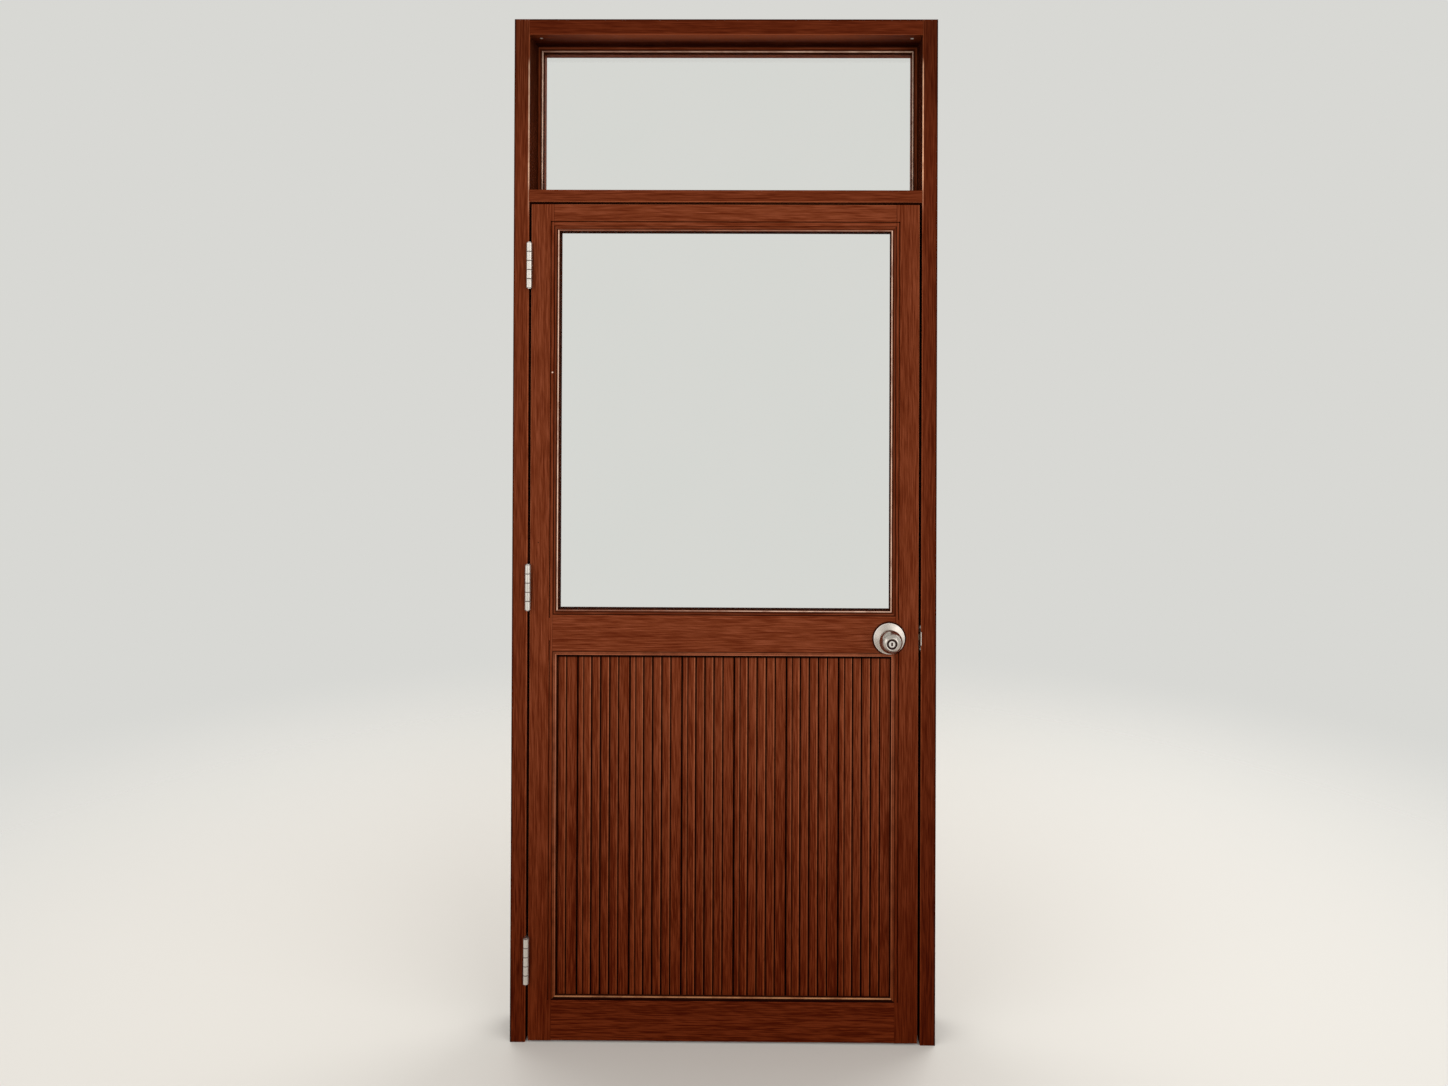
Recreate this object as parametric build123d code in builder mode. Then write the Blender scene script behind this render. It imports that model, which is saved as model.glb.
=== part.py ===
from build123d import *
import os
from math import ceil

# A half-glazed timber door in its own frame, with a fixed glazed light above it.
# Millimetres, +Z up. The pull side faces -Y and the hinges are on the -X side.
# The origin is on the floor, in the middle of the whole object's width and depth.

# Leaf
leaf_width = 976.0
leaf_height = 2100.0
leaf_thickness = 40.0
stile_width = 57.0
top_rail_width = 53.5
lock_rail_width = 91.0
bottom_rail_width = 101.0
lock_rail_height = 976.0  # from the leaf's foot to the lock rail's lower edge
rebate_depth = 22.0  # from the pull face to the rebate that glass and boards lie in
rebate_lip = 13.0  # how far the lip behind the rebate reaches into the opening
edge_ease = 1.0

# Gaps round the leaf
side_gap = 7.0
top_gap = 7.0
floor_gap = 5.0

# Frame
frame_depth = 125.0
jamb_thickness = 38.0
head_thickness = 38.0
bar_height = 30.0
transom_height = 392.0  # clear height between the bar and the head
stop_thickness = 15.0
stop_width = 35.0
stop_gap = 2.0  # between the closed leaf and its stops

# Joinery
frame_tenon_length = 24.0
frame_tenon_thickness = 12.0
frame_tenon_set = 20.0  # from the frame's two faces to the tenon
leaf_tenon_length = 38.0
leaf_tenon_thickness = 12.0
leaf_tenon_shoulder = 8.0
leaf_haunch = 18.0  # timber left above the top tenon and below the bottom one

# Glass and the beads that hold it
glass_thickness = 5.0
glass_play = 1.5
bead_set = 1.0  # how far a bead's face lies behind the leaf's face
bead_nose = 3.6
bead_quirk = 1.2
glass_bead_width = 13.0
panel_bead_width = 10.0
transom_bead_width = 15.0
transom_bead_front = 80.0  # from the frame's face to the light's front beads
transom_bead_depth = 16.0

# The fine groove worked on the leaf's face round the glass and the panel
quirk_width = 3.2
quirk_depth = 2.6
stile_quirk = 49.5  # from the stile's outer edge
top_rail_quirk = 43.5  # from the leaf's top
quirk_run_past = 8.0  # how far the groove runs past the lock rail's upper edge
quirk_pick_up = 27.0  # where it starts again, above the lock rail's lower edge

# Reeded boards, tongued and grooved
board_thickness = 12.0
board_play = 1.0
board_joint_gap = 0.3
split_reed_first = 14.8  # groove to groove across a board, from its left joint
split_reed_second = 20.4
near_reed = 22.6
full_reed = 23.0
flat_strip = 27.8  # the plain strip beside the right joint
reed_crown = 1.3
reed_groove_width = 3.6
reed_groove_depth = 4.2
fine_groove_width = 2.0  # splits the first reed in two
fine_groove_depth = 2.4
joint_groove_width = 5.0
joint_groove_depth = 5.0
tongue_length = 6.0
tongue_thickness = 3.2
tongue_set = 6.0  # from the reeds' crowns to the tongue
tongue_play = 0.15

# Butt hinges
hinge_height = 114.0
hinge_knuckles = 5
hinge_knuckle_gap = 0.3
hinge_barrel_radius = 7.0
hinge_barrel_clearance = 0.4
hinge_pin_radius = 3.0
hinge_pin_clearance = 0.05
hinge_pin_head_radius = 4.5
hinge_pin_head_height = 1.6
hinge_plate_thickness = 2.5
hinge_plate_width = 33.0  # from the leaf's face to the plate's far edge
hinge_plate_spacing = 3.0  # between the two plates of a closed hinge
hinge_root = 2.0  # how far in front of the leaf's face a plate joins its knuckles
hinge_screw_inset = 16.0  # from the plate's ends to the outer screws
hinge_screw_spread = 15.0  # from the plate's middle to the inner screws
hinge_screw_near = 10.5  # from the leaf's face to the near screws
hinge_screw_far = 23.0
hinge_top = 155.0  # from the leaf's top to the top hinge's middle
hinge_middle = 1137.0  # from the leaf's foot to the middle hinge's middle
hinge_bottom = 202.0  # from the leaf's foot to the bottom hinge's middle

# Screws
screw_head_radius = 4.2
screw_head_height = 2.5
screw_shank_radius = 1.9
screw_length = 26.0
head_screw_length = 34.0
screw_clearance = 0.08
head_screw_inset = 23.0  # from the jamb
head_screw_set = 27.0  # from the frame's face

# Knobset
knob_rise = 36.0  # from the lock rail's lower edge to the knobs' axis
knob_backset = 73.0  # from the leaf's lock edge
knob_reach = 63.0  # from the leaf's face to the knob's front
knob_radius = 28.5
knob_neck_radius = 15.5
knob_neck_length = 15.0
knob_widest = 35.0  # from the leaf's face to the knob's widest ring
knob_mouth_radius = 12.5
knob_mouth_depth = 8.0
knob_start = 1.0  # the neck's end, off the leaf's face
knob_flare_radius = 20.5  # halfway along the hollow behind the knob's widest ring
knob_flare_reach = 26.6
knob_crown_radius = 26.5  # halfway along the swell in front of that ring
knob_crown_reach = 48.0
knob_brow_width = 4.0  # the rounded ring round the mouth
knob_brow_drop = 1.2  # how far its outer edge lies behind the front
rose_radius = 39.5
rose_height = 9.5
rose_rim = 3.0
rose_rim_height = 4.5
rose_clearance = 0.5
cross_bore_radius = 27.0
spindle_side = 8.0
spindle_reach = 30.0  # how far the spindle enters each knob, from the leaf's face
plug_radius = 8.5
plug_sink = 1.5  # the plug's face behind the knob's front
plug_length = 18.0
key_slot_width = 2.2
key_slot_height = 9.0
key_slot_depth = 14.0
button_radius = 5.0
button_length = 18.0
button_sink = 4.0  # the button's round part behind the knob's front
paddle_width = 3.5
paddle_height = 7.6
paddle_reach = 9.0
turning_clearance = 0.1
post_spread = 20.0  # from the knobs' axis to each post that joins the roses
post_radius = 3.4
post_length = 26.0
rose_screw_radius = 1.95
rose_screw_head_radius = 3.8
rose_screw_head_height = 2.2
rose_screw_length = 36.0

# Spring latch
latch_plate_width = 25.0
latch_plate_height = 57.0
latch_plate_thickness = 2.5
latch_tube_wall = 1.4
latch_tube_end = 24.0  # from the knobs' axis to the tube's inner end
latch_throw = 12.0
latch_bolt_width = 12.0
latch_bolt_height = 14.0
latch_bolt_body = 24.0
latch_bevel_flat = 4.0  # width of the bolt's blunt end
latch_tail_thickness = 3.0
latch_tail_height = 14.0
latch_clearance = 0.3
latch_screw_spread = 21.7  # from the bolt's axis to each screw
yoke_height = 18.6
yoke_arm = 5.0  # from the window to the yoke's end
yoke_end_gap = 1.5  # between the yoke and the tube
cheek_thickness = 1.5
cheek_overlap = 3.0
hub_radius = 7.0
hub_thickness = 3.4
finger_width = 5.0
finger_reach = 15.0
lug_width = 3.0
lug_clear = 1.0  # between the hub and the lug
lug_height = 6.0
lug_gap = 0.5  # between the finger and the lug at rest

# Strike
strike_height = 62.0
strike_width = 26.0
strike_thickness = 1.6
strike_lip_height = 33.0
strike_hole_play = 2.0
strike_pocket_depth = 14.0
strike_screw_spread = 23.0  # from the bolt's axis to each screw

# Places that follow from the sizes above
front_y = (knob_reach - frame_depth) / 2
back_y = front_y + frame_depth
leaf_middle_y = front_y + leaf_thickness / 2
opening_half = leaf_width / 2 + side_gap
frame_half = opening_half + jamb_thickness
leaf_half = leaf_width / 2
leaf_foot = floor_gap
leaf_top = leaf_foot + leaf_height
bar_low = leaf_top + top_gap
bar_high = bar_low + bar_height
head_low = bar_high + transom_height
frame_height = head_low + head_thickness
top_rail_low = leaf_top - top_rail_width
lock_rail_low = leaf_foot + lock_rail_height
lock_rail_high = lock_rail_low + lock_rail_width
bottom_rail_high = leaf_foot + bottom_rail_width
front_half = leaf_half - stile_width  # half the opening in front of the rebate
rear_half = front_half - rebate_lip  # half the opening behind it
board_front = rebate_depth - board_thickness
glass_front = rebate_depth - glass_thickness
knob_x = leaf_half - knob_backset
knob_z = lock_rail_low + knob_rise
hinge_middles = {
    "top": leaf_top - hinge_top,
    "middle": leaf_foot + hinge_middle,
    "bottom": leaf_foot + hinge_bottom,
}
hinge_axis_x = -(leaf_half + side_gap / 2)
barrel_room = hinge_barrel_radius + hinge_barrel_clearance
hinge_axis_set = (barrel_room**2 - (side_gap / 2) ** 2) ** 0.5  # in front of the face
hinge_axis_y = front_y - hinge_axis_set
plate_start = (barrel_room**2 - (hinge_plate_spacing / 2) ** 2) ** 0.5 - hinge_axis_set
hinge_screws = {  # up from the plate's middle, and from the leaf's face
    hinge_screw_inset - hinge_height / 2: hinge_screw_far,
    -hinge_screw_spread: hinge_screw_near,
    hinge_screw_spread: hinge_screw_far,
    hinge_height / 2 - hinge_screw_inset: hinge_screw_near,
}

os.makedirs("parts", exist_ok=True)


def save(piece, name):
    piece.part.label = name
    export_step(piece.part, f"parts/{name}.step")


def depth_y(distance):
    """Y of a place this far behind the pull face."""
    return front_y + distance


def block(x_span, depth_span, z_span, mode=Mode.ADD):
    """A plain block from its spans: X, distance behind the pull face, and Z."""
    low_x, high_x = sorted(x_span)
    middle = ((low_x + high_x) / 2, depth_y(sum(depth_span) / 2), sum(z_span) / 2)
    with Locations(middle):
        Box(high_x - low_x, depth_span[1] - depth_span[0], z_span[1] - z_span[0], mode=mode)


def rod(centre, direction, radius, length, mode=Mode.ADD):
    """A round bar or hole that starts at centre and runs along direction."""
    with Locations(Plane(origin=centre, z_dir=direction)):
        Cylinder(radius, length, align=(Align.CENTER, Align.CENTER, Align.MIN), mode=mode)


def span(middle, size):
    return (middle - size / 2, middle + size / 2)


# Screws stand on planes whose normals point out of the wood
def screw_solid(length, head_radius, head_height, shank_radius):
    """A countersunk screw hanging below the XY plane."""
    with BuildPart() as screw:
        with BuildSketch(Plane.XZ):
            with BuildLine():
                Polyline(
                    (0, 0),
                    (head_radius, 0),
                    (shank_radius, -head_height),
                    (shank_radius, -length),
                    (0, -length),
                    close=True,
                )
            make_face()
        revolve(axis=Axis.Z)
    return screw.part


def wood_screw(length, extra=0.0):
    return screw_solid(
        length + extra, screw_head_radius + extra, screw_head_height, screw_shank_radius + extra
    )


def rose_screw(extra=0.0):
    return screw_solid(
        rose_screw_length + extra,
        rose_screw_head_radius + extra,
        rose_screw_head_height,
        rose_screw_radius + extra,
    )


def place(solid, planes, mode=Mode.ADD):
    with Locations(*planes):
        add(solid, mode=mode)


def hinge_screw_planes(side):
    """Four screws for each hinge plate: side -1 on the jamb, +1 on the leaf."""
    face_x = hinge_axis_x + side * hinge_plate_spacing / 2
    planes = []
    for middle in hinge_middles.values():
        for rise, depth in hinge_screws.items():
            origin = (face_x, depth_y(depth), middle + rise)
            planes.append(Plane(origin=origin, z_dir=(-side, 0, 0)))
    return planes


jamb_screw_planes = hinge_screw_planes(-1)
stile_screw_planes = hinge_screw_planes(1)
strike_face_x = opening_half - strike_thickness
strike_screw_planes = [
    Plane(origin=(strike_face_x, leaf_middle_y, knob_z + rise), z_dir=(-1, 0, 0))
    for rise in (-strike_screw_spread, strike_screw_spread)
]
latch_screw_planes = [
    Plane(origin=(leaf_half, leaf_middle_y, knob_z + rise), z_dir=(1, 0, 0))
    for rise in (-latch_screw_spread, latch_screw_spread)
]
head_screw_planes = [
    Plane(origin=(x, depth_y(head_screw_set), head_low), z_dir=(0, 0, -1))
    for x in (head_screw_inset - opening_half, opening_half - head_screw_inset)
]
rose_screw_planes = [
    Plane(
        origin=(knob_x, depth_y(leaf_thickness + rose_height), knob_z + rise),
        z_dir=(0, 1, 0),
    )
    for rise in (-post_spread, post_spread)
]

# Frame: the jambs run the full height, the head and the bar are tenoned between them
head_middle = head_low + head_thickness / 2
bar_middle = bar_low + bar_height / 2
tenon_depths = (frame_tenon_set, frame_depth - frame_tenon_set)
strike_depths = span(leaf_thickness / 2, strike_width)
strike_hole_depths = span(leaf_thickness / 2, latch_bolt_width + 2 * strike_hole_play)
strike_hole_heights = span(knob_z, latch_bolt_height + 2 * strike_hole_play)


def hinge_gains(side):
    """The shallow housings that the hinge plates lie in."""
    plate_out = hinge_axis_x + side * (hinge_plate_spacing / 2 + hinge_plate_thickness)
    for middle in hinge_middles.values():
        heights = span(middle, hinge_height)
        block((hinge_axis_x, plate_out), (-edge_ease, hinge_plate_width), heights, Mode.SUBTRACT)


def jamb(side):
    """One jamb, side -1 or +1, with the mortises for the head and the bar."""
    with BuildPart() as post:
        with BuildSketch(Plane.XY):
            with BuildLine():
                Polyline(
                    (side * frame_half, front_y),
                    (side * (opening_half + edge_ease), front_y),
                    (side * opening_half, front_y + edge_ease),
                    (side * opening_half, back_y),
                    (side * frame_half, back_y),
                    close=True,
                )
            make_face()
        extrude(amount=frame_height)
        mortise = (side * opening_half, side * (opening_half + frame_tenon_length))
        for middle in (head_middle, bar_middle):
            heights = span(middle, frame_tenon_thickness)
            block(mortise, tenon_depths, heights, Mode.SUBTRACT)
        if side < 0:
            hinge_gains(side)
            place(wood_screw(screw_length, screw_clearance), jamb_screw_planes, Mode.SUBTRACT)
        else:
            pocket = (opening_half, opening_half + strike_pocket_depth)
            block(pocket, strike_hole_depths, strike_hole_heights, Mode.SUBTRACT)
            place(wood_screw(screw_length, screw_clearance), strike_screw_planes, Mode.SUBTRACT)
    return post


def crosspiece(low, high, eased, screw_planes):
    """The head or the bar; eased lists its front edges to ease, from the lowest."""
    with BuildPart() as piece:
        block((-opening_half, opening_half), (0, frame_depth), (low, high))
        front = piece.faces().sort_by(Axis.Y)[0]
        edges = front.edges().filter_by(Axis.X).sort_by(Axis.Z)
        chamfer([edges[i] for i in eased], length=edge_ease)
        reach = opening_half + frame_tenon_length
        block((-reach, reach), tenon_depths, span((low + high) / 2, frame_tenon_thickness))
        if screw_planes:
            place(wood_screw(head_screw_length, screw_clearance), screw_planes, Mode.SUBTRACT)
    return piece


save(jamb(-1), "jamb_hinge_side")
save(jamb(1), "jamb_lock_side")
save(crosspiece(head_low, frame_height, (0,), head_screw_planes), "head")
save(crosspiece(bar_low, bar_high, (0, 1), []), "transom_bar")

# Planted stops that the closed leaf meets
stop_front = leaf_thickness + stop_gap
stop_depths = (stop_front, stop_front + stop_width)
side_stop_high = bar_low - stop_thickness


def planted_stop(x_span, z_span, along):
    """A stop with its two exposed long edges eased."""
    with BuildPart() as stop:
        block(x_span, stop_depths, z_span)
        long_edges = stop.edges().filter_by(along)
        if along == Axis.Z:
            exposed = long_edges.sort_by(Axis.X, reverse=x_span[0] < 0)[:2]
        else:
            exposed = long_edges.sort_by(Axis.Z)[:2]
        chamfer(exposed, length=edge_ease)
    return stop


for name, side in {"hinge_side": -1, "lock_side": 1}.items():
    x_span = (side * (opening_half - stop_thickness), side * opening_half)
    save(planted_stop(x_span, (0, side_stop_high), Axis.Z), f"stop_{name}")
save(
    planted_stop((-opening_half, opening_half), (side_stop_high, bar_low), Axis.X),
    "stop_top",
)


# Beads: mitred strips round an opening, drawn with X inwards and Y towards the back
def bead_runs(half_width, low, high):
    """Each side's plane, at the middle of that side of the opening, and its length."""
    middle = (low + high) / 2
    height, width = high - low, 2 * half_width
    side_plane = {
        "hinge_side": ((-half_width, front_y, middle), (1, 0, 0), (0, 0, 1), height),
        "lock_side": ((half_width, front_y, middle), (-1, 0, 0), (0, 0, -1), height),
        "top": ((0, front_y, high), (0, 0, -1), (1, 0, 0), width),
        "bottom": ((0, front_y, low), (0, 0, 1), (-1, 0, 0), width),
    }
    return {
        name: (Plane(origin=origin, x_dir=inwards, z_dir=along), length)
        for name, (origin, inwards, along, length) in side_plane.items()
    }


def nosed_outline(width, face, back):
    """A flat face, a fine groove and a round nose at the inner edge."""
    nose = bead_nose / 2
    flat = width - bead_nose - bead_quirk
    with BuildLine() as outline:
        Polyline(
            (width, face + nose),
            (width, back),
            (0, back),
            (0, face),
            (flat, face),
            (flat + bead_quirk / 2, face + nose),
            (width - bead_nose, face + nose),
        )
        ThreePointArc((width - bead_nose, face + nose), (width - nose, face), (width, face + nose))
    make_face(outline.line)


def plain_outline(width, face, back):
    """A strip whose rear inner edge is eased."""
    with BuildLine() as outline:
        Polyline(
            (0, face),
            (width, face),
            (width, back - edge_ease),
            (width - edge_ease, back),
            (0, back),
            close=True,
        )
    make_face(outline.line)


def beads(prefix, opening, outline, width, face, back):
    for name, (plane, length) in bead_runs(*opening).items():
        with BuildPart() as bead:
            with BuildSketch(plane):
                outline(width, face, back)
            extrude(amount=length / 2, both=True)
            for end in (-1, 1):
                corner = plane.origin + plane.z_dir * (end * length / 2)
                mitre = Plane(origin=corner, z_dir=plane.z_dir * end + plane.x_dir)
                split(bisect_by=mitre, keep=Keep.BOTTOM)
        save(bead, f"{prefix}_{name}")


def pane(name, opening, front, play):
    half_width, low, high = opening
    with BuildPart() as sheet:
        x_span = (play - half_width, half_width - play)
        block(x_span, (front, front + glass_thickness), (low + play, high - play))
    save(sheet, name)


transom_opening = (opening_half, bar_high, head_low)
transom_glass_front = transom_bead_front + transom_bead_depth
transom_stop_front = transom_glass_front + glass_thickness
beads(
    "transom_bead",
    transom_opening,
    nosed_outline,
    transom_bead_width,
    transom_bead_front,
    transom_glass_front,
)
beads(
    "transom_stop",
    transom_opening,
    plain_outline,
    transom_bead_width,
    transom_stop_front,
    frame_depth,
)
pane("transom_glass", transom_opening, transom_glass_front, glass_play)

# Leaf: rebated stiles run the full height, the rails are tenoned between them
leaf_tenon_depths = (rebate_depth - leaf_tenon_thickness, rebate_depth)
tenon_heights = {
    "top": (top_rail_low + leaf_tenon_shoulder, leaf_top - leaf_haunch),
    "lock": (lock_rail_low + leaf_tenon_shoulder, lock_rail_high - leaf_tenon_shoulder),
    "bottom": (leaf_foot + leaf_haunch, bottom_rail_high - leaf_tenon_shoulder),
}
top_quirk_z = leaf_top - top_rail_quirk
upper_quirk = (lock_rail_high - quirk_run_past, top_quirk_z + quirk_width / 2)
lower_quirk = (bottom_rail_high, lock_rail_low + quirk_pick_up)


def upright_groove(x, z_span):
    with BuildSketch(Plane.XY.offset(z_span[0])) as groove:
        with BuildLine():
            Polyline(
                (x - quirk_width / 2, front_y),
                (x + quirk_width / 2, front_y),
                (x, depth_y(quirk_depth)),
                close=True,
            )
        make_face()
    extrude(groove.sketch, amount=z_span[1] - z_span[0], mode=Mode.SUBTRACT)


def level_groove():
    """The groove below the top rail's edge, as far as the stiles' own grooves."""
    half = leaf_half - stile_quirk + quirk_width / 2
    with BuildSketch(Plane.YZ.offset(-half)) as groove:
        with BuildLine():
            Polyline(
                (front_y, top_quirk_z - quirk_width / 2),
                (front_y, top_quirk_z + quirk_width / 2),
                (depth_y(quirk_depth), top_quirk_z),
                close=True,
            )
        make_face()
    extrude(groove.sketch, amount=2 * half, mode=Mode.SUBTRACT)


latch_tube_inner = (latch_bolt_width**2 + latch_bolt_height**2) ** 0.5 / 2 + latch_clearance
latch_tube_radius = latch_tube_inner + latch_tube_wall


def lock_bores():
    """The bore across the leaf for the knobs, and the latch's bore and screw holes."""
    centre = (knob_x, front_y, knob_z)
    rod(centre, (0, 1, 0), cross_bore_radius, leaf_thickness, Mode.SUBTRACT)
    edge = (leaf_half, leaf_middle_y, knob_z)
    rod(edge, (-1, 0, 0), latch_tube_radius + latch_clearance, knob_backset, Mode.SUBTRACT)
    place(wood_screw(screw_length, screw_clearance), latch_screw_planes, Mode.SUBTRACT)


def stile(side):
    """One stile, side -1 at the hinges or +1 at the lock."""
    outline = (
        (0, edge_ease),
        (edge_ease, 0),
        (stile_width, 0),
        (stile_width, rebate_depth),
        (stile_width + rebate_lip, rebate_depth),
        (stile_width + rebate_lip, leaf_thickness),
        (edge_ease, leaf_thickness),
        (0, leaf_thickness - edge_ease),
    )
    with BuildPart() as piece:
        with BuildSketch(Plane.XY.offset(leaf_foot)):
            with BuildLine():
                corners = [(side * (leaf_half - inset), depth_y(depth)) for inset, depth in outline]
                Polyline(*corners, close=True)
            make_face()
        extrude(amount=leaf_height)
        upright_groove(side * (leaf_half - stile_quirk), upper_quirk)
        upright_groove(side * (leaf_half - stile_quirk), lower_quirk)
        level_groove()
        mortise = (side * front_half, side * (front_half + leaf_tenon_length))
        for heights in tenon_heights.values():
            block(mortise, leaf_tenon_depths, heights, Mode.SUBTRACT)
        if side < 0:
            hinge_gains(1)
            place(wood_screw(screw_length, screw_clearance), stile_screw_planes, Mode.SUBTRACT)
        else:
            lock_bores()
            block(
                (leaf_half - latch_plate_thickness, leaf_half),
                span(leaf_thickness / 2, latch_plate_width),
                span(knob_z, latch_plate_height),
                Mode.SUBTRACT,
            )
    return piece


def rail(name, low, high):
    """One rail: its lips reach into the openings below and above it."""
    lip_low = 0 if name == "bottom" else rebate_lip
    lip_high = 0 if name == "top" else rebate_lip
    with BuildPart() as piece:
        block((-front_half, front_half), (0, rebate_depth), (low, high))
        front = piece.faces().sort_by(Axis.Y)[0]
        edges = front.edges().filter_by(Axis.X).sort_by(Axis.Z)
        if name == "top":
            chamfer(edges[-1], length=edge_ease)
        if name == "bottom":
            chamfer(edges[0], length=edge_ease)
        block(
            (-rear_half, rear_half),
            (rebate_depth, leaf_thickness),
            (low - lip_low, high + lip_high),
        )
        reach = front_half + leaf_tenon_length
        block((-reach, reach), leaf_tenon_depths, tenon_heights[name])
        if name == "top":
            level_groove()
        if name == "lock":
            lock_bores()
        # A hinge may stand level with a tenon, and its screws then go through it
        place(wood_screw(screw_length, screw_clearance), stile_screw_planes, Mode.SUBTRACT)
    return piece


save(stile(-1), "stile_hinge_side")
save(stile(1), "stile_lock_side")
save(rail("top", top_rail_low, leaf_top), "rail_top")
save(rail("lock", lock_rail_low, lock_rail_high), "rail_lock")
save(rail("bottom", leaf_foot, bottom_rail_high), "rail_bottom")

glass_opening = (front_half, lock_rail_high, top_rail_low)
panel_opening = (front_half, bottom_rail_high, lock_rail_low)
beads("glass_bead", glass_opening, nosed_outline, glass_bead_width, bead_set, glass_front)
beads("panel_bead", panel_opening, nosed_outline, panel_bead_width, bead_set, board_front)
pane("door_glass", glass_opening, glass_front, glass_play)

# Panel boards, laid from the lock side; the last one is cut to fit at the hinge side
reed_pitches = (split_reed_first, split_reed_second, near_reed, full_reed, full_reed, flat_strip)
board_pitch = sum(reed_pitches)
first_joint = front_half - panel_bead_width
board_end = board_play - front_half
board_count = ceil((first_joint - board_end) / board_pitch)
shoulder = board_front + reed_crown
reed_half_grooves = (
    [joint_groove_width / 2, fine_groove_width / 2]
    + [reed_groove_width / 2] * (len(reed_pitches) - 2)
    + [joint_groove_width / 2]
)
tongue_depths = (board_front + tongue_set, board_front + tongue_set + tongue_thickness)


def reed_face(left_joint):
    """Corners of one board's face, as lines and arcs from its left joint to its right."""
    joint_depth = depth_y(board_front + joint_groove_depth)
    pen = (left_joint + board_joint_gap / 2, joint_depth)
    x = left_joint
    last = len(reed_pitches) - 1
    for i, pitch in enumerate(reed_pitches):
        start = (x + reed_half_grooves[i], depth_y(shoulder if i < last else board_front))
        x += pitch
        end = (x - reed_half_grooves[i + 1], start[1])
        Line(pen, start)
        if i < last:
            crown = ((start[0] + end[0]) / 2, depth_y(board_front))
            ThreePointArc(start, crown, end)
            fine = reed_half_grooves[i + 1] == fine_groove_width / 2
            floor = depth_y(board_front + (fine_groove_depth if fine else reed_groove_depth))
            flank = reed_half_grooves[i + 1] / 3
            pen = (x + flank, floor)
            Polyline(end, (x - flank, floor), pen)
        else:
            Line(start, end)
            Line(end, (x - board_joint_gap / 2, joint_depth))


def board(left_joint):
    """One board: reeds in front, a groove in its left edge and a tongue on its right."""
    left = left_joint + board_joint_gap / 2
    right = left_joint + board_pitch - board_joint_gap / 2
    joint_depth = depth_y(board_front + joint_groove_depth)
    back = depth_y(rebate_depth)
    heights = (bottom_rail_high + board_play, lock_rail_low - board_play)
    with BuildPart() as plank:
        with BuildSketch(Plane.XY.offset(heights[0])):
            with BuildLine():
                reed_face(left_joint)
                Polyline((right, joint_depth), (right, back), (left, back), (left, joint_depth))
            make_face()
        extrude(amount=heights[1] - heights[0])
        block((right, right + tongue_length), tongue_depths, heights)
        slot_depths = (tongue_depths[0] - tongue_play, tongue_depths[1] + tongue_play)
        slot = (left, left + tongue_length + board_joint_gap)
        block(slot, slot_depths, heights, Mode.SUBTRACT)
        if left < board_end:
            split(bisect_by=Plane.YZ.offset(board_end), keep=Keep.TOP)
    return plank


for number in range(1, board_count + 1):
    save(board(first_joint - number * board_pitch), f"panel_board_{number}")


# Butt hinges: the jamb's half has the odd knuckles and the leaf's half the even ones
def hinge_half(side, middle, knuckles, screw_planes):
    """Half a hinge, side -1 for the jamb or +1 for the leaf."""
    low = middle - hinge_height / 2
    pitch = hinge_height / hinge_knuckles
    near = hinge_axis_x + side * hinge_plate_spacing / 2
    plate_x = (near, near + side * hinge_plate_thickness)
    with BuildPart() as half:
        block(plate_x, (plate_start, hinge_plate_width), (low, low + hinge_height))
        for knuckle in knuckles:
            z_span = (
                low + knuckle * pitch + hinge_knuckle_gap / 2,
                low + (knuckle + 1) * pitch - hinge_knuckle_gap / 2,
            )
            foot = (hinge_axis_x, hinge_axis_y, z_span[0])
            rod(foot, (0, 0, 1), hinge_barrel_radius, z_span[1] - z_span[0])
            block(plate_x, (-hinge_root, plate_start), z_span)
        bore = hinge_pin_radius + hinge_pin_clearance
        foot = (hinge_axis_x, hinge_axis_y, low)
        rod(foot, (0, 0, 1), bore, hinge_height, Mode.SUBTRACT)
        place(wood_screw(screw_length, screw_clearance), screw_planes, Mode.SUBTRACT)
    return half


odd = range(0, hinge_knuckles, 2)
even = range(1, hinge_knuckles, 2)
for number, (name, middle) in enumerate(hinge_middles.items()):
    own = slice(len(hinge_screws) * number, len(hinge_screws) * (number + 1))
    save(hinge_half(-1, middle, odd, jamb_screw_planes[own]), f"hinge_{name}_jamb_half")
    save(hinge_half(1, middle, even, stile_screw_planes[own]), f"hinge_{name}_leaf_half")

with BuildPart() as hinge_pins:
    for middle in hinge_middles.values():
        low, high = span(middle, hinge_height - hinge_knuckle_gap)
        foot = (hinge_axis_x, hinge_axis_y, low)
        top = (hinge_axis_x, hinge_axis_y, high)
        rod(foot, (0, 0, 1), hinge_pin_radius, high - low)
        rod(foot, (0, 0, -1), hinge_pin_head_radius, hinge_pin_head_height)
        rod(top, (0, 0, 1), hinge_pin_head_radius, hinge_pin_head_height)
save(hinge_pins, "hinge_pins")

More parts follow.
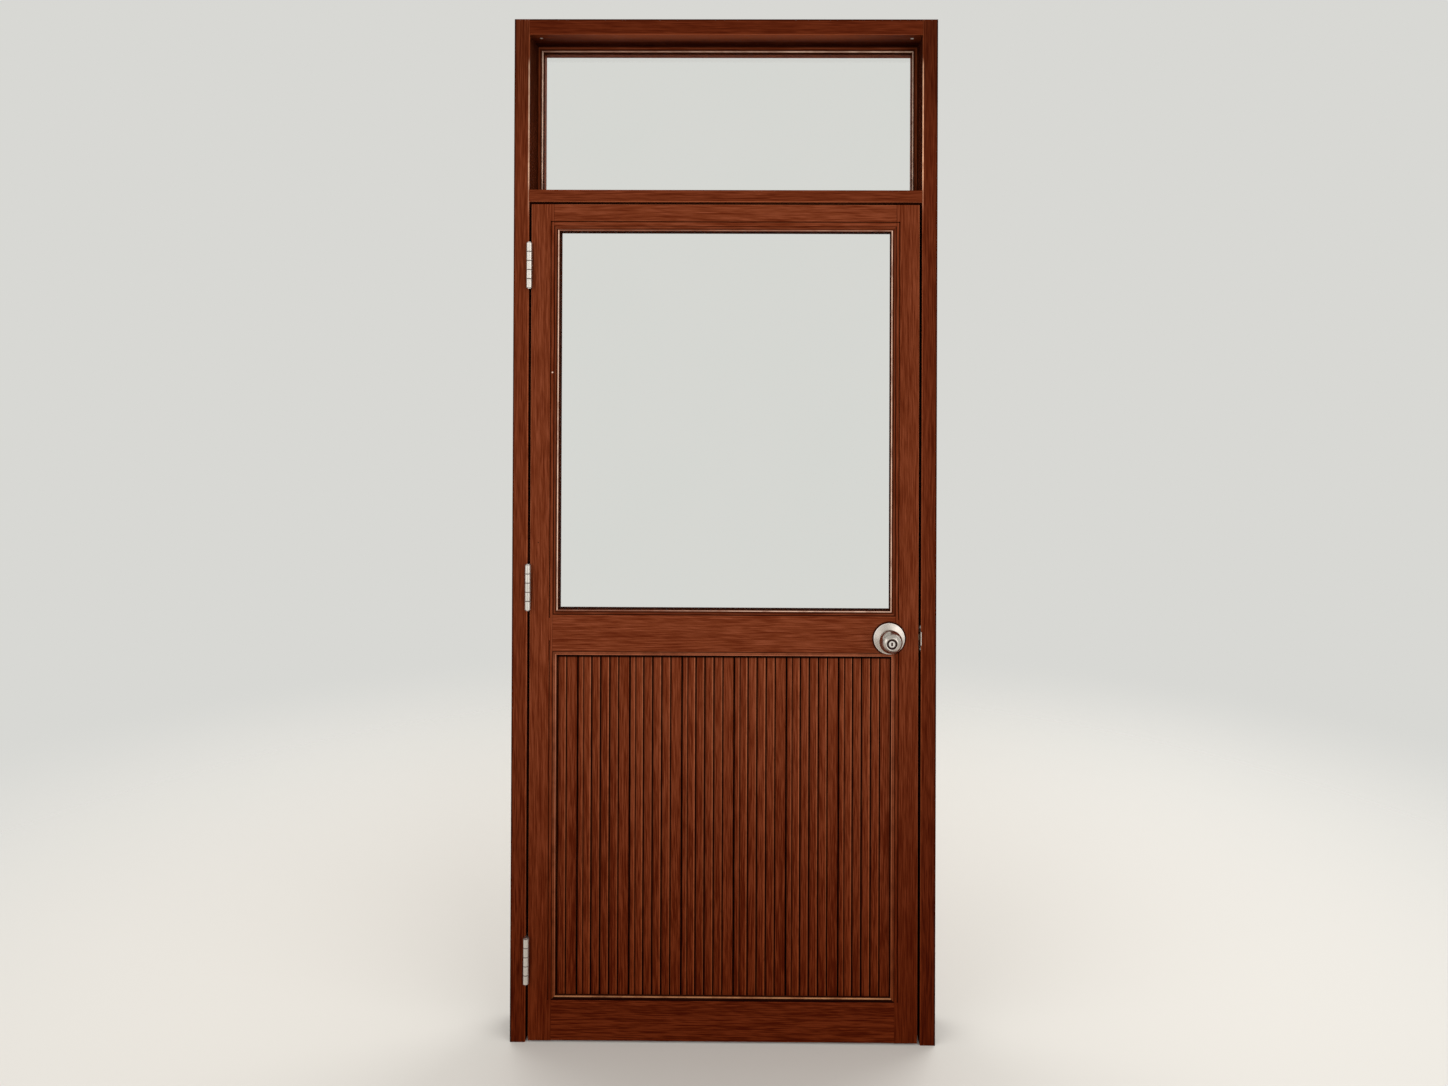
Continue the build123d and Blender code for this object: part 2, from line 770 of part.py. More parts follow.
# Strike plate on the jamb, its lip bent round the eased arris
lip_bend = edge_ease + strike_thickness
arc_share = 0.5**0.5  # how far along X and Y an arc's middle lies from its centre
bend_x = opening_half + edge_ease
with BuildPart() as strike_plate:
    block((strike_face_x, opening_half), strike_depths, span(knob_z, strike_height))
    with BuildSketch(Plane.XY.offset(knob_z - strike_lip_height / 2)):
        with BuildLine():
            Polyline(
                (opening_half, depth_y(edge_ease)),
                (opening_half, depth_y(strike_depths[0])),
                (strike_face_x, depth_y(strike_depths[0])),
                (strike_face_x, depth_y(edge_ease)),
            )
            ThreePointArc(
                (strike_face_x, depth_y(edge_ease)),
                (bend_x - arc_share * lip_bend, depth_y(edge_ease - arc_share * lip_bend)),
                (bend_x, depth_y(edge_ease - lip_bend)),
            )
            Line((bend_x, depth_y(edge_ease - lip_bend)), (bend_x, front_y))
            ThreePointArc(
                (bend_x, front_y),
                (bend_x - arc_share * edge_ease, depth_y(edge_ease - arc_share * edge_ease)),
                (opening_half, depth_y(edge_ease)),
            )
        make_face()
    extrude(amount=strike_lip_height)
    block((strike_face_x, opening_half), strike_hole_depths, strike_hole_heights, Mode.SUBTRACT)
    place(wood_screw(screw_length, screw_clearance), strike_screw_planes, Mode.SUBTRACT)
save(strike_plate, "strike_plate")

# Screws, one group for each side that they are driven into
with BuildPart() as jamb_screws:
    place(wood_screw(screw_length), jamb_screw_planes + strike_screw_planes)
save(jamb_screws, "jamb_screws")
with BuildPart() as leaf_screws:
    place(wood_screw(screw_length), stile_screw_planes + latch_screw_planes)
save(leaf_screws, "leaf_screws")
with BuildPart() as head_screws:
    place(wood_screw(head_screw_length), head_screw_planes)
save(head_screws, "head_screws")

# Knobset: turned pieces are drawn with X as the radius and Y away from the leaf's face
faces = {
    "outer": Plane(origin=(knob_x, front_y, knob_z), x_dir=(1, 0, 0), z_dir=(0, 0, -1)),
    "inner": Plane(
        origin=(knob_x, depth_y(leaf_thickness), knob_z), x_dir=(1, 0, 0), z_dir=(0, 0, 1)
    ),
}
knob_axis = Axis((knob_x, 0, knob_z), (0, 1, 0))


def rose(name):
    """The round plate behind a knob, with a rolled rim and a sloping face."""
    plane = faces[name]
    inner = knob_neck_radius + rose_clearance
    flat = post_spread + rose_screw_head_radius + rose_clearance
    with BuildPart() as plate:
        with BuildSketch(plane):
            with BuildLine():
                Line((rose_radius, 0), (rose_radius, rose_rim / 2))
                ThreePointArc(
                    (rose_radius, rose_rim / 2),
                    (rose_radius - rose_rim / 3, (rose_rim + rose_rim_height) / 2),
                    (rose_radius - rose_rim, rose_rim_height),
                )
                Polyline(
                    (rose_radius - rose_rim, rose_rim_height),
                    (flat, rose_height),
                    (inner, rose_height),
                    (inner, 0),
                    (rose_radius, 0),
                )
            make_face()
        revolve(axis=knob_axis)
        if name == "outer":
            for rise in (-post_spread, post_spread):
                foot = (knob_x, front_y, knob_z + rise)
                rod(foot, (0, 1, 0), post_radius, post_length)
                end = (knob_x, depth_y(post_length), knob_z + rise)
                bore = rose_screw_radius + screw_clearance
                rod(end, (0, -1, 0), bore, post_length, Mode.SUBTRACT)
        else:
            place(rose_screw(screw_clearance), rose_screw_planes, Mode.SUBTRACT)
    return plate


def knob(name):
    """A knob: neck, flare, crown and a mouth round the plug or the button."""
    plane = faces[name]
    away = plane.y_dir
    held_radius = plug_radius if name == "outer" else button_radius
    held_end = knob_reach - (
        plug_sink + plug_length if name == "outer" else button_sink + button_length
    )
    brow_outer = knob_mouth_radius + knob_brow_width
    brow_top = knob_mouth_radius + knob_brow_width / 2
    with BuildPart() as turned:
        with BuildSketch(plane):
            with BuildLine():
                Polyline(
                    (0, knob_start),
                    (knob_neck_radius, knob_start),
                    (knob_neck_radius, knob_neck_length),
                )
                ThreePointArc(
                    (knob_neck_radius, knob_neck_length),
                    (knob_flare_radius, knob_flare_reach),
                    (knob_radius, knob_widest),
                )
                ThreePointArc(
                    (knob_radius, knob_widest),
                    (knob_crown_radius, knob_crown_reach),
                    (brow_outer, knob_reach - knob_brow_drop),
                )
                ThreePointArc(
                    (brow_outer, knob_reach - knob_brow_drop),
                    (brow_top, knob_reach),
                    (knob_mouth_radius, knob_reach - knob_brow_drop),
                )
                Polyline(
                    (knob_mouth_radius, knob_reach - knob_brow_drop),
                    (knob_mouth_radius, knob_reach - knob_mouth_depth),
                    (0, knob_reach - knob_mouth_depth),
                    (0, knob_start),
                )
            make_face()
        revolve(axis=knob_axis)
        floor = plane.origin + away * (knob_reach - knob_mouth_depth)
        hole_depth = knob_reach - knob_mouth_depth - held_end + turning_clearance
        rod(floor, -away, held_radius + turning_clearance, hole_depth, Mode.SUBTRACT)
        start = plane.origin + away * knob_start
        with BuildSketch(Plane(origin=start, x_dir=(1, 0, 0), z_dir=away)):
            Rectangle(spindle_side + turning_clearance, spindle_side + turning_clearance)
        extrude(amount=spindle_reach - knob_start + turning_clearance, mode=Mode.SUBTRACT)
    return turned


for name in faces:
    save(rose(name), f"rose_{name}")
    save(knob(name), f"knob_{name}")

with BuildPart() as rose_screws:
    place(rose_screw(), rose_screw_planes)
save(rose_screws, "rose_screws")

with BuildPart() as spindle:
    block(
        span(knob_x, spindle_side),
        (-spindle_reach, leaf_thickness + spindle_reach),
        span(knob_z, spindle_side),
    )
save(spindle, "spindle")

with BuildPart() as key_plug:
    plug_face = -(knob_reach - plug_sink)
    rod((knob_x, depth_y(plug_face), knob_z), (0, 1, 0), plug_radius, plug_length)
    block(
        span(knob_x, key_slot_width),
        (plug_face, plug_face + key_slot_depth),
        span(knob_z, key_slot_height),
        Mode.SUBTRACT,
    )
save(key_plug, "key_plug")

with BuildPart() as turn_button:
    button_face = leaf_thickness + knob_reach - button_sink
    rod((knob_x, depth_y(button_face), knob_z), (0, -1, 0), button_radius, button_length)
    block(
        span(knob_x, paddle_width),
        (button_face, button_face + paddle_reach),
        span(knob_z, paddle_height),
    )
save(turn_button, "turn_button")

# Latch: case, bolt with its yoke, and the hub whose finger draws the bolt back
hub_depths = (leaf_thickness / 2 - hub_thickness, leaf_thickness / 2)
tail_depths = (
    leaf_thickness / 2 + latch_clearance,
    leaf_thickness / 2 + latch_clearance + latch_tail_thickness,
)
spindle_room = spindle_side / 2**0.5 + latch_clearance
tube_end_x = knob_x + latch_tube_end
bolt_room = (latch_bolt_width + 2 * latch_clearance, latch_bolt_height + 2 * latch_clearance)
cheek_set = max(hub_thickness, latch_clearance + latch_tail_thickness) + 2 * latch_clearance

with BuildPart() as latch_case:
    block(
        (leaf_half - latch_plate_thickness, leaf_half),
        span(leaf_thickness / 2, latch_plate_width),
        span(knob_z, latch_plate_height),
    )
    tube_length = leaf_half - latch_plate_thickness - tube_end_x
    start = (tube_end_x, leaf_middle_y, knob_z)
    rod(start, (1, 0, 0), latch_tube_radius, tube_length)
    rod(start, (1, 0, 0), latch_tube_inner, tube_length, Mode.SUBTRACT)
    for side in (-1, 1):
        near = leaf_thickness / 2 + side * cheek_set
        cheek = sorted((near, near + side * cheek_thickness))
        block(
            (knob_x - hub_radius - yoke_arm, tube_end_x + cheek_overlap),
            cheek,
            span(knob_z, yoke_height),
        )
        hole = (knob_x, depth_y(cheek[0]), knob_z)
        rod(hole, (0, 1, 0), spindle_room, cheek_thickness, Mode.SUBTRACT)
    block(
        (leaf_half - latch_plate_thickness, leaf_half),
        span(leaf_thickness / 2, bolt_room[0]),
        span(knob_z, bolt_room[1]),
        Mode.SUBTRACT,
    )
    place(wood_screw(screw_length, screw_clearance), latch_screw_planes, Mode.SUBTRACT)
save(latch_case, "latch_case")

with BuildPart() as latch_bolt:
    tip = leaf_half + latch_throw
    bolt_x = (leaf_half - latch_bolt_body, tip)
    block(bolt_x, span(leaf_thickness / 2, latch_bolt_width), span(knob_z, latch_bolt_height))
    with BuildSketch(Plane.XY.offset(knob_z - latch_bolt_height / 2)):
        with BuildLine():
            back_edge = leaf_middle_y + latch_bolt_width / 2
            Polyline(
                (leaf_half + latch_clearance, back_edge),
                (tip, back_edge),
                (tip, back_edge - latch_bolt_width + latch_bevel_flat),
                close=True,
            )
        make_face()
    extrude(amount=latch_bolt_height, mode=Mode.SUBTRACT)
    yoke_end = tube_end_x - yoke_end_gap
    window = (knob_x - spindle_room - latch_clearance, knob_x + latch_throw + spindle_room)
    block((yoke_end, bolt_x[0]), tail_depths, span(knob_z, latch_tail_height))
    block((window[0] - yoke_arm, yoke_end), tail_depths, span(knob_z, yoke_height))
    block(window, tail_depths, span(knob_z, 2 * spindle_room), Mode.SUBTRACT)
    lug_x = knob_x - finger_width / 2 - lug_gap
    lug = (lug_x - lug_width, lug_x)
    lug_high = knob_z - hub_radius - lug_clear
    lug_low = lug_high - lug_height
    block(lug, tail_depths, (lug_low, knob_z - yoke_height / 2))
    block(lug, (hub_depths[0] + latch_clearance, tail_depths[1]), (lug_low, lug_high))
save(latch_bolt, "latch_bolt")

with BuildPart() as latch_hub:
    rod((knob_x, depth_y(hub_depths[0]), knob_z), (0, 1, 0), hub_radius, hub_thickness)
    block(span(knob_x, finger_width), hub_depths, (knob_z - finger_reach, knob_z))
    hole = spindle_side + turning_clearance
    block(span(knob_x, hole), hub_depths, span(knob_z, hole), Mode.SUBTRACT)
save(latch_hub, "latch_hub")
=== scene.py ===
import math
import bmesh
import bpy
from mathutils import Matrix, Vector
from mathutils.geometry import tessellate_polygon


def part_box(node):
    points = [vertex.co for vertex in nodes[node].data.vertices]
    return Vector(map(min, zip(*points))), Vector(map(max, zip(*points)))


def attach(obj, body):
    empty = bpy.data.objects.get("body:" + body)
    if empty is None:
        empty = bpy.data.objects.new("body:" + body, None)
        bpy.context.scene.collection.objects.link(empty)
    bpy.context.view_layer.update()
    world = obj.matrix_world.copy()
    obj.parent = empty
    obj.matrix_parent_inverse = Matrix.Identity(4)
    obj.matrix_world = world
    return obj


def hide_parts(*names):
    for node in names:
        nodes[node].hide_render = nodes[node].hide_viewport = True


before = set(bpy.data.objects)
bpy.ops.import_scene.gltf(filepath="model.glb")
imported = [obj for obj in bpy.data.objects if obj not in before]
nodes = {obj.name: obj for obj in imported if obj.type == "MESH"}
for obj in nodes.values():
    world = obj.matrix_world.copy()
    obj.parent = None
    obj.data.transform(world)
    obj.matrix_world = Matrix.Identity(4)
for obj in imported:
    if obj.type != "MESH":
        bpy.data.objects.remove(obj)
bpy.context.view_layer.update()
print("frame loaded:", len(nodes), "nodes")


# A shader socket, so that shader maths reads as plain expressions
class Wire:
    def __init__(self, shader, socket):
        self.shader = shader
        self.socket = socket

    def __add__(self, other):
        return self.shader.maths("ADD", self, other)

    def __sub__(self, other):
        return self.shader.maths("SUBTRACT", self, other)

    def __rsub__(self, other):
        return self.shader.maths("SUBTRACT", other, self)

    def __mul__(self, other):
        return self.shader.maths("MULTIPLY", self, other)

    def __truediv__(self, other):
        return self.shader.maths("DIVIDE", self, other)

    def __rtruediv__(self, other):
        return self.shader.maths("DIVIDE", other, self)

    __radd__ = __add__
    __rmul__ = __mul__


class Shader:
    def __init__(self, tree):
        self.tree = tree

    def node(self, kind, settings=None, sockets=None, out=0):
        made = self.tree.nodes.new(kind)
        for name, value in (settings or {}).items():
            if name == "stops":
                ramp = made.color_ramp
                while len(ramp.elements) < len(value):
                    ramp.elements.new(0.5)
                for stop, (position, shade) in zip(ramp.elements, value):
                    stop.position = position
                    stop.color = (*shade, 1)
            else:
                setattr(made, name, value)
        for name, value in (sockets or {}).items():
            socket = made.inputs[name]
            if isinstance(value, Wire):
                self.tree.links.new(value.socket, socket)
            else:
                socket.default_value = value
        return Wire(self, made.outputs[out]) if len(made.outputs) else made

    def maths(self, operation, *values):
        return self.node("ShaderNodeMath", {"operation": operation}, dict(enumerate(values)))

    def vector(self, operation, *values):
        return self.node("ShaderNodeVectorMath", {"operation": operation}, dict(enumerate(values)))

    # A single number from one or two vectors
    def measure(self, operation, *vectors):
        settings = {"operation": operation}
        return self.node("ShaderNodeVectorMath", settings, dict(enumerate(vectors)), out=1)

    # Metres in the object's frame
    def place(self):
        return self.node("ShaderNodeTexCoord", out=3)

    def split(self, vector):
        first = self.node("ShaderNodeSeparateXYZ", None, {0: vector})
        return [Wire(self, output) for output in first.socket.node.outputs]

    def noise(self, place, scale, detail, roughness, out=0):
        sockets = {"Vector": place, "Scale": scale, "Detail": detail, "Roughness": roughness}
        return self.node("ShaderNodeTexNoise", None, sockets, out)

    # A noise that swings about zero
    def swing(self, place, scale, detail, roughness):
        return self.noise(place, scale, detail, roughness) - 0.5

    def ramp(self, value, stops):
        colours = tuple((position, linear(*shade)) for position, shade in stops)
        return self.node("ShaderNodeValToRGB", {"stops": colours}, {"Fac": value})

    def fit(self, value, low, high, toLow=0.0, toHigh=1.0):
        sockets = {
            "Value": value, "From Min": low, "From Max": high,
            "To Min": toLow, "To Max": toHigh,
        }
        settings = {"interpolation_type": "SMOOTHSTEP"}
        return self.node("ShaderNodeMapRange", settings, sockets)

    def blend(self, factor, first, second):
        settings = {"data_type": "RGBA", "clamp_factor": True}
        return self.node("ShaderNodeMix", settings, {0: factor, 6: first, 7: second}, out=2)

    def bump(self, height, strength, distance):
        sockets = {"Height": height, "Strength": strength, "Distance": distance}
        return self.node("ShaderNodeBump", None, sockets)


def newMaterial(name):
    material = bpy.data.materials.new(name)
    material.use_nodes = True
    material.node_tree.nodes.clear()
    return material, Shader(material.node_tree)


def surface(shader, sockets):
    body = shader.node("ShaderNodeBsdfPrincipled", None, sockets)
    shader.node("ShaderNodeOutputMaterial", None, {"Surface": body})


def dress(material, *names):
    for name in names:
        mesh = nodes[name].data
        mesh.materials.clear()
        mesh.materials.append(material)


def linear(red, green, blue):
    def channel(value):
        value /= 255
        return value / 12.92 if value <= 0.04045 else ((value + 0.055) / 1.055) ** 2.4
    return (channel(red), channel(green), channel(blue))


def colour(name, look):
    return (*linear(*look[name]), 1)


# Red-brown stained timber under a thin satin varnish
timber = {
    "dark": (86, 31, 11),
    "middle": (108, 49, 25),
    "light": (130, 66, 41),
    "stainStops": (0.3, 0.5, 0.74),  # where on the grain's swing these three lie
    "wearAndHighlight": (236, 200, 176),  # painted highlight on an arris or a nose, and the pale wood of a chip
    "crown": (180, 102, 68),  # a dimmer painted highlight on a reed's lit side and along arrises
    # dark joints, and painted shade under the panel's top bead, round the rose and beside the
    # hinges
    "joint": (26, 5, 2),
    "depth": (1.0, 1.5, 2.0),  # a deeper stain takes more of the green and the blue
    "foot": (0.54, 0.36, 0.21),  # painted shade near the floor: what it leaves of each colour
    "footHeight": 1.2,
    "footContrast": 1.9,  # and how much stronger its grain shows there
    "stileContrast": 1.1,  # less on the stiles
    "apart": (1.37, 0.71, 2.13),  # metres from one piece's pattern to the next
    "stretch": 0.03,  # how much slower the pattern runs along the grain
    # noises: scale per metre, detail, roughness
    "bands": (34.0, 3.0, 0.5),
    "bandShare": 0.34,
    "streaks": (420.0, 2.0, 0.6),
    "streakShare": 1.15,
    "figure": (110.0, 2.0, 0.5),
    "figureShare": 0.2,
    "figureSlope": 0.3,  # how far the faint figure slants across the grain
    "figureStretch": 0.12,
    "flecks": (900.0, 2.0, 0.6),
    "fleckRange": (0.54, 0.7),
    "fleckShare": 0.4,
    "drift": (7.0, 2.0, 0.55),  # slow wandering of the lines
    "driftReach": 0.01,  # metres that they wander
    "driftStretch": 0.25,
    "highlightBreaks": (26.0, 3.0, 0.6),
    "highlightBreakRange": (0.3, 0.62),
    "highlightBreakLeast": 0.5,  # what a painted highlight line keeps where the noise breaks it
    "roughness": 0.42,
    "roughnessSpread": 0.25,
    "gloss": 0.012,
    "streakRelief": 0.4,
    "fleckRelief": 0.6,
    "bump": (0.2, 0.0004),  # strength, distance
    "recessShadeTone": 0.25,  # painted shade in grooves and behind the beads
    "arrisDepth": 0.003,  # how far behind a face its painted highlights and dark lines reach
    "softEdge": 0.0012,
    "lineCore": 0.4,  # share of a line's half width that has its full strength
    "groove": (0.0024, 0.0003),  # half width, and how deep the painted shade starts
}


def stretched(along, share):
    return tuple(share if axis == along else 1.0 for axis in "XYZ")


class Timber:
    def __init__(self, name, along, seed, tone):
        self.material, self.shader = newMaterial("timber_" + name)
        self.low, self.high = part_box(name)
        shader = self.shader
        self.place = shader.place()
        self.across = shader.split(self.place)
        moved = shader.vector("ADD", self.place, tuple(seed * step for step in timber["apart"]))
        slow = shader.vector("MULTIPLY", moved, stretched(along, timber["driftStretch"]))
        drift = shader.vector("SUBTRACT", shader.noise(slow, *timber["drift"], out=1), (0.5,) * 3)
        drift = shader.vector("MULTIPLY", drift, (timber["driftReach"],) * 3)
        moved = shader.vector("ADD", moved, drift)
        grain = shader.vector("MULTIPLY", moved, stretched(along, timber["stretch"]))
        bands = shader.swing(grain, *timber["bands"])
        streaks = shader.swing(grain, *timber["streaks"])
        figure = self.figure(moved, along)
        flecks = shader.fit(shader.noise(grain, *timber["flecks"]), *timber["fleckRange"])
        swing = bands * timber["bandShare"] + streaks * timber["streakShare"]
        swing = swing + figure * timber["figureShare"]
        strong = timber["stileContrast" if name.startswith("stile") else "footContrast"]
        contrast = shader.fit(self.across[2], 0.0, timber["footHeight"], strong, 1.0)
        stains = [timber[shade] for shade in ("dark", "middle", "light")]
        stain = shader.ramp(0.5 + swing * contrast, zip(timber["stainStops"], stains))
        self.colour = shader.blend(flecks * timber["fleckShare"], stain, colour("dark", timber))
        self.tint = tuple(tone ** power for power in timber["depth"])
        self.shade = 1.0
        self.relief = streaks * timber["streakRelief"] - flecks * timber["fleckRelief"]
        self.rough = timber["roughness"] + streaks * timber["roughnessSpread"]
        self.front = self.upTo(self.low[1] + timber["arrisDepth"])

    # Slow light and dark across the grain, which slants a little
    def figure(self, moved, along):
        slope = timber["figureSlope"]
        run, rise = (1.0, 0.0, slope), (-slope, 0.0, 1.0)
        if along == "X":
            run, rise = (slope, 0.0, 1.0), (1.0, 0.0, -slope)
        first, second = (self.shader.measure("DOT_PRODUCT", moved, way) for way in (run, rise))
        sockets = {0: first, 1: second * timber["figureStretch"]}
        turned = self.shader.node("ShaderNodeCombineXYZ", None, sockets)
        return self.shader.swing(turned, *timber["figure"])

    # 1 in front of a depth, 0 behind it
    def upTo(self, depth):
        return self.shader.fit(self.across[1], depth - timber["softEdge"], depth, 1.0, 0.0)

    # 1 on a line at this place along the axis, 0 beyond half the width
    def band(self, axis, centre, half):
        off = self.shader.maths("ABSOLUTE", self.across[axis] - centre)
        return self.shader.fit(off, half * timber["lineCore"], half, 1.0, 0.0)

    def paint(self, mask, tint):
        self.colour = self.shader.blend(mask, self.colour, colour(tint, timber))

    # A painted highlight along a line: paler, broken up by a noise
    def paintHighlight(self, axis, centre, half, strength, tint="wearAndHighlight"):
        highlightBreaks = self.shader.noise(self.place, *timber["highlightBreaks"])
        broken = self.shader.fit(highlightBreaks, *timber["highlightBreakRange"], timber["highlightBreakLeast"], 1.0)
        self.paint(self.band(axis, centre, half) * self.front * broken * strength, tint)

    # A dark line, for a joint and for painted shade
    def joint(self, axis, centre, half, strength):
        self.paint(self.band(axis, centre, half) * self.front * strength, "joint")

    # Painted shade: darker and duller from one depth to another behind the face, but not on the
    # back
    def recessShade(self, start, end, mask=1.0, tone=timber["recessShadeTone"]):
        face, back = self.low[1], self.high[1]
        low = self.shader.fit(self.across[1], face + start, face + end) * mask * self.upTo(back)
        self.shade = self.shade * (1.0 - low * (1.0 - tone))
        self.rough = self.shader.maths("MAXIMUM", self.rough, low)

    # A worked groove: painted shade only where the face lies lower
    def groove(self, axis, centre):
        half, start = timber["groove"]
        self.recessShade(start, start + timber["softEdge"], self.band(axis, centre, half))

    # A spot on the face that fades out between two radii
    def spot(self, x, z, inside, outside, tint, strength):
        shader = self.shader
        off = shader.vector("SUBTRACT", self.place, (x, 0.0, z))
        far = shader.measure("LENGTH", shader.vector("MULTIPLY", off, (1.0, 0.0, 1.0)))
        self.paint(shader.fit(far, inside, outside, strength, 0.0) * self.front, tint)

    def finish(self, node):
        shader = self.shader
        # Painted shade towards the floor, blended with each piece's tone
        height = shader.fit(self.across[2], 0.0, timber["footHeight"])
        foot = tuple(share * tint for share, tint in zip(timber["foot"], self.tint))
        depth = shader.blend(height, (*foot, 1), (*self.tint, 1))
        stain = shader.vector("MULTIPLY", self.colour, depth)
        settings = {"operation": "SCALE"}
        stain = shader.node("ShaderNodeVectorMath", settings, {0: stain, "Scale": self.shade})
        surface(shader, {
            "Base Color": stain,
            "Roughness": self.rough,
            "Specular IOR Level": timber["gloss"],
            "Normal": shader.bump(self.relief, *timber["bump"]),
        })
        dress(self.material, node)


# Beads round the glass, the panel and the transom light
beads = {
    # dark lines, the painted shade of a quirk and the joint at the outer edge: distance from the
    # inner or outer edge, half width, strength
    "quirk": (0.0058, 0.0028, 0.6),
    "outer": (0.0012, 0.0026, 0.85),
    "darkShare": {"glass_bead_top": 0.5, "panel_bead_bottom": 1.5},
    "panelBand": (0.0035, 0.006, 0.5),  # the lit face of the panel's upper beads
    "nose": 0.0016,  # from the inner edge to the painted highlight on the nose
    "noseHalf": 0.0016,
    "wideNoseHalf": 0.0026,
    # strength of each bead's painted highlight on the nose
    "noseStrength": {
        "glass_bead_hinge_side": 0.95, "glass_bead_lock_side": 0.9,
        "glass_bead_top": 0.3, "glass_bead_bottom": 0.9,
        "panel_bead_hinge_side": 0.25, "panel_bead_lock_side": 0.12,
        "panel_bead_top": 0.1, "panel_bead_bottom": 0.85,
        "transom_bead_hinge_side": 0.95, "transom_bead_lock_side": 0.8,
        "transom_bead_top": 0.85, "transom_bead_bottom": 0.3,
    },
    # share of the painted highlight that a level bead keeps at the hinge side, and where along X
    # it fades
    "noseFade": {"glass_bead_bottom": 0.2, "panel_bead_bottom": 0.75},
    "usualFade": 0.45,
    "fadeRange": (-0.28, 0.3),
    "recessShade": (0.002, 0.005),
}


def beadLines(wood, name, axis):
    low, high = wood.low[axis], wood.high[axis]
    inwards = 1 if name.endswith(("_hinge_side", "_bottom")) else -1
    inner, outer = (high, low) if inwards > 0 else (low, high)
    darkShare = beads["darkShare"].get(name, 1.0)
    # Dark lines: painted shade of the quirk, and the outer joint
    off, half, strength = beads["quirk"]
    wood.joint(axis, inner - inwards * off, half, strength * darkShare)
    off, half, strength = beads["outer"]
    wood.joint(axis, outer + inwards * off, half, strength * darkShare)
    # The painted highlight along the nose
    strength = beads["noseStrength"][name]
    if axis == 2:
        faded = strength * beads["noseFade"].get(name, beads["usualFade"])
        strength = wood.shader.fit(wood.across[0], *beads["fadeRange"], faded, strength)
    lowest = name == "panel_bead_bottom"
    half = beads["wideNoseHalf" if lowest or name.startswith("transom") else "noseHalf"]
    wood.paintHighlight(axis, inner - inwards * beads["nose"], half, strength)
    # A painted highlight on the lit face of the panel's upper beads
    if name.startswith("panel") and not lowest:
        off, half, strength = beads["panelBand"]
        wood.paintHighlight(axis, inner - inwards * off, half, strength, "crown")
    wood.recessShade(*beads["recessShade"])


# Reeded boards of the panel
boards = {
    "pitch": 0.1316,
    # where the reeds catch the light, from a board's left joint, and how much
    "reedEnds": ((0.0128, 0.5), (0.0326, 1.0), (0.0550, 0.6), (0.0780, 0.9), (0.1010, 0.7)),
    "reedHalf": 0.003,
    "recessShade": (0.0003, 0.0024),
    "recessShadeTone": 0.05,
    "topShade": (0.0025, 0.007, 1.0),  # distance below the bead, half width, strength
}
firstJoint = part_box("panel_board_1")[0][0]
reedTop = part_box("panel_bead_top")[0][2]


def boardLines(wood, name):
    # Painted shade in the grooves, painted highlights on the reeds, and painted shade under the
    # top bead
    wood.recessShade(*boards["recessShade"], tone=boards["recessShadeTone"])
    left = firstJoint - (int(name[-1]) - 1) * boards["pitch"]
    for reedEnd, strength in boards["reedEnds"]:
        wood.paintHighlight(0, left + reedEnd, boards["reedHalf"], strength, "crown")
    below, half, strength = boards["topShade"]
    wood.joint(2, reedTop - below, half, strength)


# Rails and stiles of the leaf
leaf = {
    "recessShade": (0.004, 0.01),
    "railJoint": (0.001, 0.6),  # half width, strength, and so on below
    # painted highlights along the top rail's and the stiles' arrises
    "railArris": (0.0014, 0.6),
    "stileArris": (0.0014, 0.7),
    "stileGroove": 0.0495,  # from the stile's outer edge
    "topGroove": 0.0435,  # from the leaf's top
    "nail": (-0.4674, 1.2534, 0.0014),  # x, z, radius
    "chip": (-0.4337, 1.6816, 0.002),
    "spot": (0.6, 1.3, 0.9),  # both marks: full and faded out, in radii, then strength
    "roseShade": (0.0015, 0.005, 0.9),  # full and faded out beyond the rose, then strength
}
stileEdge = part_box("glass_bead_hinge_side")[0][0]
roseLow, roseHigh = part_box("rose_outer")
roseRadius = (roseHigh[0] - roseLow[0]) / 2
knobCentre = [(a + b) / 2 for a, b in zip(roseLow, roseHigh)]


def railLines(wood, name):
    wood.recessShade(*leaf["recessShade"])
    for x in (stileEdge, -stileEdge):
        wood.joint(0, x, *leaf["railJoint"])
    if name == "rail_top":
        wood.groove(2, wood.high[2] - leaf["topGroove"])
        wood.paintHighlight(2, wood.high[2], *leaf["railArris"], "crown")


def stileLines(wood, name):
    side = 1 if name.endswith("lock_side") else -1
    outer = wood.high[0] if side > 0 else wood.low[0]
    wood.recessShade(*leaf["recessShade"])
    wood.paintHighlight(0, outer, *leaf["stileArris"], "crown")
    wood.groove(0, outer - side * leaf["stileGroove"])
    if side < 0:
        inside, outside, strength = leaf["spot"]
        for spot, tint in (("nail", "joint"), ("chip", "wearAndHighlight")):
            x, z, radius = leaf[spot]
            wood.spot(x, z, radius * inside, radius * outside, tint, strength)
    wood.groove(2, wood.high[2] - leaf["topGroove"])


def roseShade(wood):
    x, _, z = knobCentre
    inside, outside, strength = leaf["roseShade"]
    wood.spot(x, z, roseRadius + inside, roseRadius + outside, "joint", strength)


